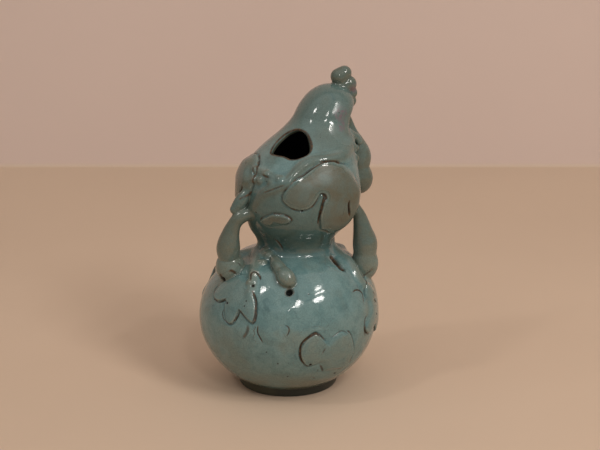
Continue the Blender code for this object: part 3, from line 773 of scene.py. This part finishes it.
def surface_net(field):
    """Points, in grid steps, and four-sided faces of the surface where the field changes sign."""
    inside = field < 0.0
    counts = np.zeros(np.array(field.shape) - 1, dtype=np.int8)
    corners = [(i, j, k) for i in (0, 1) for j in (0, 1) for k in (0, 1)]
    for i, j, k in corners:
        counts += inside[i:i + counts.shape[0], j:j + counts.shape[1], k:k + counts.shape[2]]
    cells = np.argwhere((counts > 0) & (counts < 8))
    number = np.full(counts.shape, -1, dtype=np.int32)
    number[tuple(cells.T)] = np.arange(len(cells))
    total = np.zeros((len(cells), 3))
    crossings = np.zeros(len(cells))
    for axis in range(3):
        ahead = np.eye(3, dtype=int)[axis]
        for corner in corners:
            if corner[axis]:
                continue
            start = cells + corner
            first = field[tuple(start.T)]
            second = field[tuple((start + ahead).T)]
            crossed = (first < 0.0) != (second < 0.0)
            share = first[crossed] / (first[crossed] - second[crossed])
            total[crossed] += np.array(corner) + share[:, None] * ahead
            crossings[crossed] += 1
    points = cells + total / crossings[:, None]
    faces = []
    for axis in range(3):
        one, two = np.eye(3, dtype=int)[(axis + 1) % 3], np.eye(3, dtype=int)[(axis + 2) % 3]
        size = np.array(field.shape)
        size[axis] -= 1
        first = inside[:size[0], :size[1], :size[2]]
        second = inside[tuple(slice(int(index == axis), None) for index in range(3))]
        edges = np.argwhere(first != second)
        edges = edges[np.all((edges > 0) & (edges < np.array(field.shape) - 1), axis=1)]
        quads = np.column_stack([number[tuple((edges - back).T)]
                                 for back in (one + two, two, 0 * one, one)])
        outward = first[tuple(edges.T)]
        faces.append(np.where(outward[:, None], quads, quads[:, ::-1]))
    return points, np.vstack(faces)


# How far apart the distances are taken that tell which way the surface faces and how it bends, in mm
SLOPE_REACH = 0.15
BEND_REACH = 1.1
# How often a point is moved towards the surface, and how far at most, in mm
MOVES = 2
MOST_MOVE = 0.4


def slope_of(points):
    """Direction in which the distance grows."""
    slope = np.column_stack([vase_distance(points + shift) - vase_distance(points - shift)
                             for shift in np.eye(3) * SLOPE_REACH])
    return slope / np.maximum(np.linalg.norm(slope, axis=1)[:, None], 1e-9)


def foot_centre():
    """Where the foot ring's centre stands in the frame, in mm."""
    places = np.array([vertex.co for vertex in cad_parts[NODE].data.vertices]) / MM
    ring = places[places[:, 2] < 0.1]
    return np.append((ring.min(axis=0) + ring.max(axis=0))[:2] / 2, 0.0)


FOOT_CENTRE = foot_centre()


def add_object(name, data):
    """New object in the scene."""
    item = bpy.data.objects.new(name, data)
    bpy.context.scene.collection.objects.link(item)
    return item


def read_points(mesh):
    """Vertex coordinates as an array."""
    flat = np.empty(3 * len(mesh.vertices))
    mesh.vertices.foreach_get("co", flat)
    return flat.reshape(-1, 3)


def store(mesh, name, values):
    """Keeps one number per vertex for the material to read."""
    layer = mesh.attributes.new(name, 'FLOAT', 'POINT')
    layer.data.foreach_set("value", np.asarray(values, dtype=np.float32))


def surface_marks(mesh, points):
    """Stores where the relief, the leaf edges, the creases and the hollows are."""
    off, turn, length, radius = body_coordinates(points)
    _, inside, fade, thin = leaf_distance(points, turn, length, radius)
    for near, (runs, _, thinness) in met(points, BARS):
        on_bar = ease(1.2 - to_bar(points[near].astype(np.float32), runs))
        thin[near] = np.maximum(thin[near], thinness * on_bar)
    opening, _ = MOUTH_CHART.read(*spread_out(MOUTH_PLACE, turn, length, radius))
    strength = np.zeros(len(points))
    offset, best = np.full((2, len(points)), FAR)
    for near, widths_off, taper, _, darkness in near_creases(points, off, turn, length, radius):
        closer = np.abs(widths_off) < best[near]
        chosen = near[closer]
        best[chosen] = np.abs(widths_off[closer])
        offset[chosen] = widths_off[closer]
        strength[chosen] = np.minimum(2.0 * taper[closer], 1.0) * darkness
    hole = gap_to(PIT_PLACE, turn, length, radius) - PIT_RADIUS
    for place, size, _ in DENTS:
        hole = np.minimum(hole, gap_to(place, turn, length, radius) - DENT_SHARE * size)
    bend = np.zeros(len(points))
    for shift in np.eye(3) * BEND_REACH:
        bend += vase_distance(points + shift) + vase_distance(points - shift)
    # Name, values, least and greatest
    marks = (("relief", off, -4.0, 12.0), ("thin", thin, 0.0, 1.0), ("leaf_edge", inside, -6.0, 6.0),
             ("leaf_fade", fade, 0.0, 1.0), ("mouth_edge", opening, -6.0, 6.0),
             ("hole_edge", hole, -6.0, 6.0), ("crease_offset", offset, -FAR, FAR),
             ("crease_strength", strength, 0.0, 1.0), ("bend", bend / BEND_REACH**2, -3.0, 3.0))
    for name, values, least, greatest in marks:
        store(mesh, name, np.clip(values, least, greatest))


def make_vase():
    """The whole vase as one mesh, set on its isosurface, with the surface's own normals."""
    field, origin = sample_grid()
    points, faces = surface_net(field)
    points = origin + points * FINE_STEP
    mesh = bpy.data.meshes.new("vase_net")
    mesh.from_pydata(points.tolist(), [], faces.tolist())
    vase = add_object("glazed_vase", mesh)
    triangles = 2 * len(faces)
    if triangles > MOST_TRIANGLES:
        step = vase.modifiers.new("thin_out", 'DECIMATE')
        step.ratio = MOST_TRIANGLES / triangles
        shown = vase.evaluated_get(bpy.context.evaluated_depsgraph_get())
        mesh = bpy.data.meshes.new_from_object(shown)
        vase.modifiers.clear()
        vase.data = mesh
    points = read_points(mesh)
    slope = slope_of(points)
    for _ in range(MOVES):
        points = points - np.clip(vase_distance(points), -MOST_MOVE, MOST_MOVE)[:, None] * slope
    normals = slope_of(points)
    surface_marks(mesh, points)
    mesh.vertices.foreach_set("co", ((points + FOOT_CENTRE) * MM).ravel())
    mesh.shade_smooth()
    mesh.normals_split_custom_set_from_vertices(normals.tolist())
    mesh.update()
    return vase


vase = make_vase()
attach(vase, "root")
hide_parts(NODE)


class Nodes:
    """Short names for the shader nodes of a material or a world."""

    def __init__(self, block):
        self.block = block
        block.use_nodes = True
        self.tree = block.node_tree

    def end(self, name, **values):
        """Feeds the inputs of the node that was there from the start, and gives the block back."""
        for socket, value in values.items():
            self.feed(self.tree.nodes[name].inputs[socket.replace("_", " ")], value)
        return self.block

    def add(self, kind, values=(), **settings):
        """A node with its settings, its inputs linked to other outputs or set to numbers."""
        node = self.tree.nodes.new("ShaderNode" + kind)
        for key, value in settings.items():
            setattr(node, key, value)
        for socket, value in values:
            self.feed(node.inputs[socket], value)
        return node

    def feed(self, socket, value):
        """Links or sets one input."""
        if isinstance(value, bpy.types.NodeSocket):
            self.tree.links.new(value, socket)
        else:
            socket.default_value = value

    def math(self, operation, *values):
        """Arithmetic on numbers."""
        return self.add("Math", enumerate(values), operation=operation).outputs[0]

    def plus(self, *values):
        """Sum of several numbers."""
        return reduce(lambda first, second: self.math('ADD', first, second), values)

    def times(self, *values):
        """Product of several numbers."""
        return reduce(lambda first, second: self.math('MULTIPLY', first, second), values)

    def most(self, *values):
        """Largest of several numbers."""
        return reduce(lambda first, second: self.math('MAXIMUM', first, second), values)

    def step(self, value, low, high, least=0.0, most=1.0):
        """Smooth step of a number from one level to another."""
        node = self.add("MapRange", ((0, value), (1, low), (2, high), (3, least), (4, most)),
                        interpolation_type='SMOOTHSTEP')
        return node.outputs[0]

    def mix(self, share, first, second):
        """Colour between two colours."""
        node = self.add("Mix", data_type='RGBA')
        self.feed(node.inputs[0], share)
        self.feed(node.inputs[6], first)
        self.feed(node.inputs[7], second)
        return node.outputs[2]

    def noise(self, place, scale, detail=2.0, roughness=0.5, distortion=0.0):
        """Soft noise between 0 and 1, its scale in waves per mm."""
        node = self.add("TexNoise", ((0, place), (2, scale), (3, detail), (4, roughness)))
        node.inputs["Distortion"].default_value = distortion
        return node.outputs[0]

    def vector(self, operation, place, other):
        """Arithmetic on a place or a colour; scaling takes a number, the rest another vector."""
        socket = 3 if operation == 'SCALE' else 1
        node = self.add("VectorMath", ((0, place), (socket, other)), operation=operation)
        return node.outputs["Value" if operation == 'DISTANCE' else "Vector"]

    def near(self, place, middle, reach):
        """1 at a point, falling to 0 at its reach."""
        middle = tuple(FOOT_CENTRE + middle)
        return self.step(self.vector('DISTANCE', place, middle), reach, 0.4 * reach)

    def line(self, value, level, far, close, *shares):
        """Smooth step up to where a number passes a level, from far off it to close by."""
        return self.step(self.math('ABSOLUTE', self.math('SUBTRACT', value, level)), far, close, *shares)

    def axis(self, place, index):
        """One coordinate of a place, or one channel of a colour."""
        return self.add("SeparateXYZ", ((0, place),)).outputs[index]

    def mark(self, name):
        """A number kept on the mesh."""
        return self.add("Attribute", attribute_name=name).outputs["Fac"]


def colour(red, green, blue):
    """Linear colour from screen values between 0 and 255."""
    shares = [value / 255.0 for value in (red, green, blue)]
    return (*[share / 12.92 if share <= 0.04045 else ((share + 0.055) / 1.055) ** 2.4
              for share in shares], 1.0)


TURQUOISE = colour(98, 129, 129)
PALE_TURQUOISE = colour(109, 138, 137)
DEEP_TURQUOISE = colour(50, 86, 90)
GREY_TURQUOISE = colour(84, 101, 95)
THIN_GLAZE = colour(116, 124, 111)
OLIVE_GLAZE = colour(108, 109, 92)
# Darker copies of the thin and olive glaze, for painted shade over the bulb
SHADED_THIN_GLAZE = colour(88, 95, 84)
SHADED_OLIVE_GLAZE = colour(82, 79, 60)
# Darker glaze colour for painted shade under the bulb
PAINTED_SHADE_GLAZE = colour(64, 86, 80)
EDGE_GLAZE = colour(136, 138, 124)
CRAZE_COLOUR = colour(74, 88, 78)
BROWN_CLAY = colour(80, 52, 16)
DARK_CLAY = colour(38, 26, 8)
SPECK_COLOUR = colour(38, 40, 34)
PURPLE_BLUSH = colour(120, 84, 100)
# Near black, for painted shade inside the vase, the pit and the dents
INSIDE_SHADE_COLOUR = colour(12, 11, 10)
CUT_COLOUR = colour(66, 70, 56)
FOOT_LEFT = colour(50, 53, 38)
FOOT_RIGHT = colour(26, 33, 26)


def glaze_material():
    """Turquoise glaze: greyish where thin, deep where pooled, brown where it broke at edges, with painted
    shade under the bulb, in creases, and inside the mouth and pits.
    """
    nodes = Nodes(bpy.data.materials.new("turquoise_glaze"))
    step, times, most, mix = nodes.step, nodes.times, nodes.most, nodes.mix
    plus, noise, mark = nodes.plus, nodes.noise, nodes.mark
    place = nodes.vector('SCALE', nodes.add("TexCoord").outputs["Object"], 1.0 / MM)
    level = nodes.axis(place, 2)
    relief, bend = mark("relief"), mark("bend")
    leaf_edge, mouth_edge, hole_edge = mark("leaf_edge"), mark("mouth_edge"), mark("hole_edge")
    broad = noise(place, 0.045, 3.0, 0.55)
    patch = noise(place, 0.14, 3.0, 0.6, 0.6)
    band = noise(nodes.vector('MULTIPLY', place, (0.6, 0.6, 1.6)), 0.07, 3.0, 0.55)
    fine = noise(place, 0.9, 3.0, 0.6)
    on_wall = step(relief, 5.5, 4.5)

    body = mix(step(patch, 0.42, 0.62), TURQUOISE, PALE_TURQUOISE)
    body = mix(times(step(level, 108.0, 138.0), 0.75), body, GREY_TURQUOISE)
    # Painted shade: the band under the bulb, round the waist, is darkened towards deep turquoise. The
    # pooling in hollows and in the patches is the glaze's own.
    painted_shade_under_bulb = times(step(level, 66.0, 74.0), step(level, 92.0, 78.0), 0.75)
    pooled_glaze_and_shade = most(times(step(bend, -0.05, -0.8), 0.6), step(patch, 0.42, 0.28, 0.0, 0.4), painted_shade_under_bulb)
    body = mix(pooled_glaze_and_shade, body, DEEP_TURQUOISE)
    raised = times(mark("thin"), step(patch, 0.36, 0.60, 0.7, 1.0))
    low_zone = times(step(level, 22.0, 8.0), step(band, 0.36, 0.62, 0.2, 0.9))
    drifts = times(step(broad, 0.50, 0.68), 0.4)
    thin_colour = mix(step(patch, 0.30, 0.70), THIN_GLAZE, OLIVE_GLAZE)
    # Painted shade: above 62 mm, and fully above 96 mm, the thin glaze turns to its darker copies. The
    # olive streaks in it are its own.
    shaded_thin_colour = mix(step(band, 0.40, 0.60), SHADED_THIN_GLAZE, SHADED_OLIVE_GLAZE)
    thin_colour = mix(times(step(level, 62.0, 96.0), 0.85), thin_colour, shaded_thin_colour)
    # Painted shade: a darker glaze over the bulb's underside and the waist, from about 64 to 114 mm up.
    shade = times(step(level, 64.0, 78.0), step(level, 114.0, 98.0), 0.55)
    body = mix(shade, body, PAINTED_SHADE_GLAZE)
    body = mix(most(raised, low_zone, drifts), body, thin_colour)
    edges = times(step(bend, 0.55, 1.5), step(patch, 0.40, 0.62, 0.2, 0.6))
    body = mix(edges, body, EDGE_GLAZE)
    blush = most(*[nodes.near(place, *spot) for spot in PURPLE_PLACES])
    body = mix(times(blush, step(noise(place, 0.5), 0.35, 0.6), 0.6), body, PURPLE_BLUSH)

    craze = nodes.add("TexVoronoi", ((0, place), (2, 0.21)), feature='DISTANCE_TO_EDGE').outputs[0]
    craze_zone = step(noise(place, 0.06), 0.46, 0.62, 0.1, 1.0)
    body = mix(times(step(craze, 0.035, 0.010), craze_zone, 0.25), body, CRAZE_COLOUR)

    brown_noise = noise(place, 0.22, 2.0)
    # Crease lines: brown clay, with painted shade in the deeper grooves and slots.
    crease = times(mark("crease_strength"), nodes.line(mark("crease_offset"), 0.0, 1.35, 0.5))
    leaf_line = times(nodes.line(leaf_edge, -0.2, 0.6, 0.15), step(brown_noise, 0.42, 0.58, 0.1, 0.95),
                      on_wall, step(mark("leaf_fade"), 0.6, 0.2))
    mouth_line = times(nodes.line(mouth_edge, -0.2, 0.85, 0.35), step(brown_noise, 0.35, 0.55, 0.8, 1.0),
                       step(relief, -1.1, -0.5))
    hole_line = times(nodes.line(hole_edge, 0.4, 0.6, 0.2, 0.0, 0.6),
                      nodes.near(place, at_place(PIT_PLACE), 8.0))
    brown = most(crease, leaf_line, mouth_line, hole_line)
    body = mix(brown, body, mix(step(fine, 0.45, 0.6), DARK_CLAY, BROWN_CLAY))
    # Painted shade: the pit and the dents are painted near black inside.
    painted_shade_in_hole = times(step(hole_edge, 0.25, -0.15), step(relief, 3.5, 2.5))
    body = mix(painted_shade_in_hole, body, INSIDE_SHADE_COLOUR)

    speck = nodes.add("TexVoronoi", ((0, place), (2, 0.20)))
    speck_size = step(nodes.axis(speck.outputs["Color"], 0), 0.30, 1.0, 0.0, 0.085)
    specks = step(nodes.math('SUBTRACT', speck.outputs["Distance"], speck_size), 0.02, -0.01)
    body = mix(times(specks, 0.85), body, SPECK_COLOUR)
    grained = nodes.vector('SCALE', body, step(noise(place, 1.6, 2.0), 0.3, 0.7, 0.90, 1.08))

    ragged = times(plus(patch, -0.5), 2.0)
    bare = step(plus(level, ragged), 5.0, 4.4)
    across = plus(nodes.axis(place, 0), times(patch, 6.0))
    foot_colour = mix(step(across, -8.0, 0.0), FOOT_LEFT, FOOT_RIGHT)
    shown = mix(bare, grained, foot_colour)
    in_mouth = times(step(relief, -0.8, -1.8), step(mouth_edge, -2.0, -1.0))
    # Painted shade: deeper inside the mouth the wall is painted near black.
    painted_shade_inside = step(relief, -2.0, -3.0)
    shown = mix(painted_shade_inside, mix(in_mouth, shown, CUT_COLOUR), INSIDE_SHADE_COLOUR)
    matt = most(step(mark("thin"), 0.75, 0.9), *[nodes.near(place, *spot) for spot in MATT_PLACES])
    gloss = plus(step(fine, 0.3, 0.7, 0.06, 0.14), times(matt, 0.40))
    dull = most(times(bare, 0.3), times(most(painted_shade_inside, painted_shade_in_hole, times(brown, 0.6)), 0.9))
    ripple = plus(times(noise(place, 0.55, 2.0), 0.7), times(fine, 0.3))
    pitting = nodes.math('SUBTRACT', ripple, times(specks, 0.4))
    bump = nodes.add("Bump", (("Strength", 0.3), ("Distance", 0.2 * MM), ("Height", pitting)))
    return nodes.end("Principled BSDF", Base_Color=shown, Roughness=plus(gloss, dull), IOR=1.6,
                     Normal=bump.outputs[0])


CROWN_SIDE = np.array((*centre_at(CROWN_LEVEL), CROWN_LEVEL)) + (11.0, 1.0, -2.0)
PURPLE_PLACES = [(at_place(dome(35, 1)), 5.0), (at_place(dome(44, -4)), 4.0), (CROWN_SIDE, 3.5)]
MATT_PLACES = [(at_place(dome(50, 0)), 9.0), (at_place(dome(54, -8)), 9.0)]
vase.data.materials.clear()
vase.data.materials.append(glaze_material())


def sweep(name, table_edge, bend, height, half_width):
    """Table and wall as one sheet, bent up softly at the table's far edge."""
    start = table_edge - bend
    rows = [(-half_width, 0.0), (start, 0.0)]
    for angle in np.radians(np.linspace(0.0, 90.0, 13))[1:]:
        rows.append((start + bend * math.sin(angle), bend - bend * math.cos(angle)))
    rows.append((table_edge, height))
    corners = [(side, y, z) for y, z in rows for side in (-half_width, half_width)]
    starts = range(0, 2 * (len(rows) - 1), 2)
    mesh = bpy.data.meshes.new(name)
    mesh.from_pydata(corners, [], [(corner, corner + 1, corner + 3, corner + 2) for corner in starts])
    mesh.shade_smooth()
    sheet = add_object(name, mesh)
    return sheet


def backdrop_material():
    """Pale matt paper, a little pinker on the wall."""
    nodes = Nodes(bpy.data.materials.new("studio_paper"))
    place = nodes.add("TexCoord").outputs["Object"]
    height = nodes.axis(place, 2)
    cloud = nodes.noise(place, 6.0, 2.0)
    table = nodes.mix(cloud, colour(202, 178, 155), colour(210, 186, 163))
    wall = nodes.mix(cloud, colour(217, 196, 185), colour(223, 202, 191))
    paper = nodes.mix(nodes.step(height, 0.0, 0.004), table, wall)
    return nodes.end("Principled BSDF", Base_Color=paper, Roughness=0.85)


sweep("table_and_wall", 0.425, 0.003, 3.0, 4.0).data.materials.append(backdrop_material())


def area_light(name, azimuth, elevation, width, height, gain):
    """Rectangular light turned to the middle of the vase."""
    lamp = bpy.data.lights.new(name, 'AREA')
    lamp.shape = 'RECTANGLE'
    lamp.size = width
    lamp.size_y = height
    lamp.energy = gain * math.pi * width * height
    lamp.color = LAMP_COLOUR
    lit = add_object(name, lamp)
    turn, lift = math.radians(azimuth), math.radians(elevation)
    aim = (np.array((*centre_at(BULB_LEVEL), BULB_LEVEL)) + FOOT_CENTRE) * MM
    away = (math.sin(turn) * math.cos(lift), -math.cos(turn) * math.cos(lift), math.sin(lift))
    lit.location = aim + LAMP_DISTANCE * np.array(away)
    lit.rotation_euler = (math.pi / 2 - lift, 0.0, turn)
    return lit


LAMP_COLOUR = (1.0, 0.955, 0.91)
LAMP_DISTANCE = 1.3
# Azimuth, elevation, width, height and strength
LIGHTS = {
    "high_strip": (52, 52, 0.26, 0.04, 38.0),
    "middle_strip": (49, 45, 0.30, 0.04, 38.0),
    "low_window": (42, 35, 0.32, 0.12, 30.0),
    "front_window": (11, 38, 0.12, 0.18, 20.0),
    "side_window": (-58, 51, 0.10, 0.16, 26.0),
}
for name, settings in LIGHTS.items():
    area_light(name, *settings)

# Full height, strength at the horizon and strength at that height
SKY_PARTS = ((1.0, 0.06, 0.72), (0.30, 0.35, 0.0))

sky = Nodes(bpy.data.worlds.new("studio"))
rise = sky.axis(sky.add("TexCoord").outputs["Generated"], 2)
strengths = [sky.add("MapRange", (("Value", rise), ("From Max", top), ("To Min", low), ("To Max", high)))
             .outputs[0] for top, low, high in SKY_PARTS]
bpy.context.scene.world = sky.end("Background", Color=(1.0, 0.95, 0.9, 1.0), Strength=sky.plus(*strengths))

bpy.context.scene.view_settings.view_transform = 'Standard'

FOCAL_LENGTH, SENSOR_WIDTH = 96.0, 36.0
CAMERA_PLACE, CAMERA_DIP = (6.0, -745.3, 300.8), 16.5
lens = bpy.data.cameras.new("camera")
lens.lens = FOCAL_LENGTH
lens.sensor_width = SENSOR_WIDTH
lens.clip_end = 20.0
camera = add_object("camera", lens)
camera.location = (FOOT_CENTRE + np.array(CAMERA_PLACE)) * MM
camera.rotation_euler = (math.radians(90.0 - CAMERA_DIP), 0.0, 0.0)
bpy.context.scene.camera = camera
